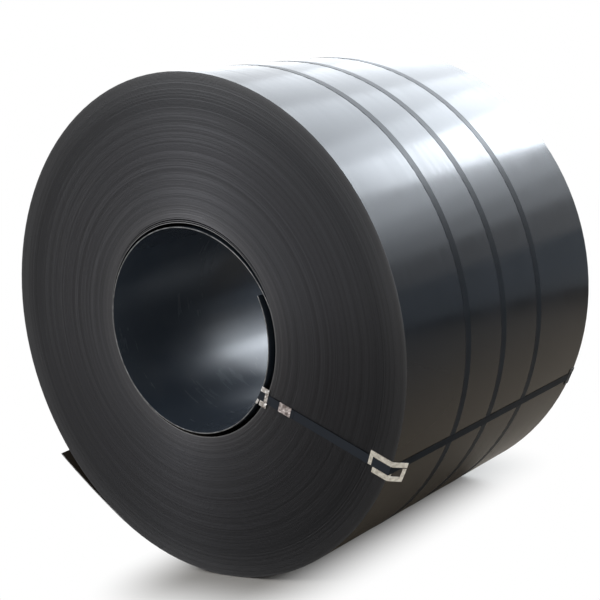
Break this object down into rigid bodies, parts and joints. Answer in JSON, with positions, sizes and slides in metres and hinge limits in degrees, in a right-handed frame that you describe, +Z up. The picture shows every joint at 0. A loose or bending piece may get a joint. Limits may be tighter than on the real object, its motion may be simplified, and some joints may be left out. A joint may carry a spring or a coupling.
{
  "type": "steel coil",
  "caption": "Hot rolled steel coil on its side, with ring straps, an eye strap, crimped seals, corner guards and a loose inner lap.",
  "frame": {"origin": "on the ground under the middle of the coil", "axes": "+Z up, the coil's axis along Y, the end with the eye strap's seal facing -Y"},
  "size_m": [1.7817, 1.2562, 1.7816],
  "materials": {
    "strip": "satin",
    "strap": "satin",
    "seal": "satin",
    "guard": "satin"
  },
  "bodies": {
    "root": {"coil_roll": "strip", "ring_strap_1": "strap", "ring_strap_2": "strap", "ring_strap_3": "strap", "ring_seal_1": "seal", "ring_seal_2": "seal", "ring_seal_3": "seal", "eye_strap": "strap", "eye_seal": "seal", "rim_guard_front": "guard", "rim_guard_back": "guard", "bore_guard_front": "guard", "bore_guard_back": "guard"}
  },
  "joints": []
}
